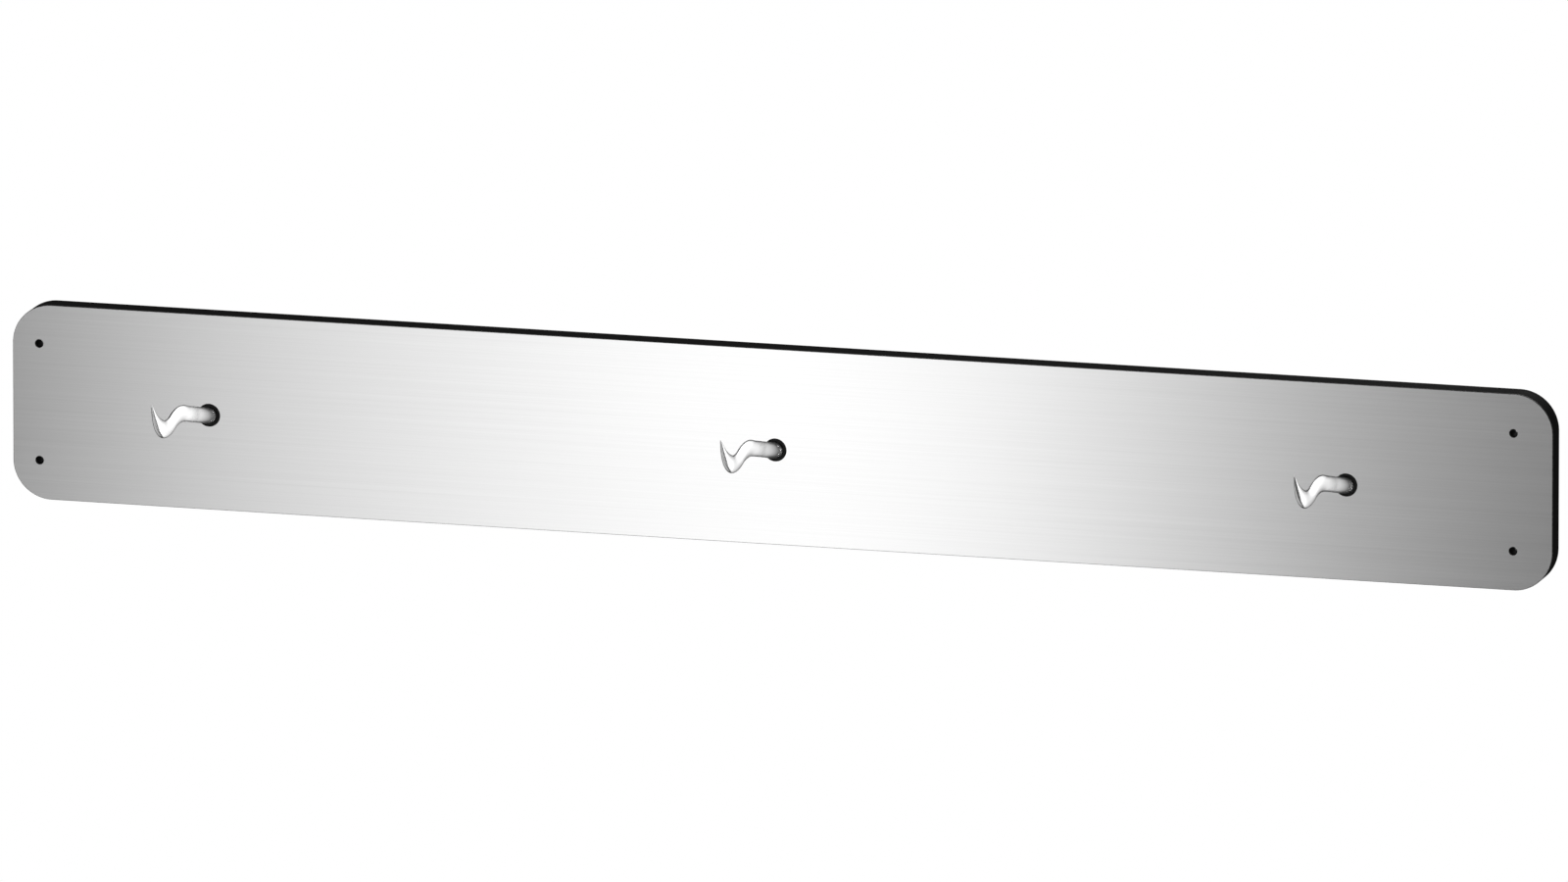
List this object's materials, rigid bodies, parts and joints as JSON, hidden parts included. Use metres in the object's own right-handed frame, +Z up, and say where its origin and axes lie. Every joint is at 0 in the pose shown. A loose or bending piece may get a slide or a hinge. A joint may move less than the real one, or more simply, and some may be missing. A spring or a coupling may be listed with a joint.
{
  "type": "knife magnetic rack",
  "caption": "Long wall-mounted magnetic knife bar: brushed steel face on a black magnet body, with corner screw holes and pointed tool hooks.",
  "frame": {"origin": "centre of the flat rear face, in the plane of the wall", "axes": "+X along the rack to the right as seen from the room, +Y out of the rear face into the wall, +Z up"},
  "size_m": [0.8, 0.1122, 0.1],
  "materials": {
    "brushed_stainless_sheet": "AISI 304 sheet, fine grain brushed along the rack's length, edges deburred",
    "black_polyethylene": "black food-grade polyethylene board, satin milled edges",
    "black_polyethylene_cover": "black polyethylene sheet with a fine grained rear face",
    "polished_stainless_bar": "AISI 304 bar, polished, faint lengthwise drawing lines, ground point",
    "black_nylon": "turned black nylon, satin to semi-gloss",
    "zinc_plated_steel": "bright zinc plated steel",
    "ferrite": "dark grey sintered ferrite, matt ground pole faces"
  },
  "bodies": {
    "root": {"front_plate": "brushed_stainless_sheet", "magnet_body": "black_polyethylene", "rear_cover": "black_polyethylene_cover", "keeper_bar_upper": "zinc_plated_steel", "keeper_bar_lower": "zinc_plated_steel", "magnet_upper_01": "ferrite", "magnet_upper_02": "ferrite", "magnet_upper_03": "ferrite", "magnet_upper_04": "ferrite", "magnet_upper_05": "ferrite", "magnet_upper_06": "ferrite", "magnet_upper_07": "ferrite", "magnet_upper_08": "ferrite", "magnet_upper_09": "ferrite", "magnet_upper_10": "ferrite", "magnet_upper_11": "ferrite", "magnet_upper_12": "ferrite", "magnet_upper_13": "ferrite", "magnet_upper_14": "ferrite", "magnet_upper_15": "ferrite", "magnet_lower_01": "ferrite", "magnet_lower_02": "ferrite", "magnet_lower_03": "ferrite", "magnet_lower_04": "ferrite", "magnet_lower_05": "ferrite", "magnet_lower_06": "ferrite", "magnet_lower_07": "ferrite", "magnet_lower_08": "ferrite", "magnet_lower_09": "ferrite", "magnet_lower_10": "ferrite", "magnet_lower_11": "ferrite", "magnet_lower_12": "ferrite", "magnet_lower_13": "ferrite", "magnet_lower_14": "ferrite", "magnet_lower_15": "ferrite", "hook_left": "polished_stainless_bar", "hook_bush_left": "black_nylon", "hook_anchor_left": "zinc_plated_steel", "lock_washer_left": "zinc_plated_steel", "hook_nut_left": "zinc_plated_steel", "hook_centre": "polished_stainless_bar", "hook_bush_centre": "black_nylon", "hook_anchor_centre": "zinc_plated_steel", "lock_washer_centre": "zinc_plated_steel", "hook_nut_centre": "zinc_plated_steel", "hook_right": "polished_stainless_bar", "hook_bush_right": "black_nylon", "hook_anchor_right": "zinc_plated_steel", "lock_washer_right": "zinc_plated_steel", "hook_nut_right": "zinc_plated_steel", "cover_screw_1": "zinc_plated_steel", "cover_screw_2": "zinc_plated_steel", "cover_screw_3": "zinc_plated_steel", "cover_screw_4": "zinc_plated_steel", "cover_screw_5": "zinc_plated_steel", "cover_screw_6": "zinc_plated_steel", "cover_screw_7": "zinc_plated_steel", "cover_screw_8": "zinc_plated_steel"}
  },
  "joints": []
}
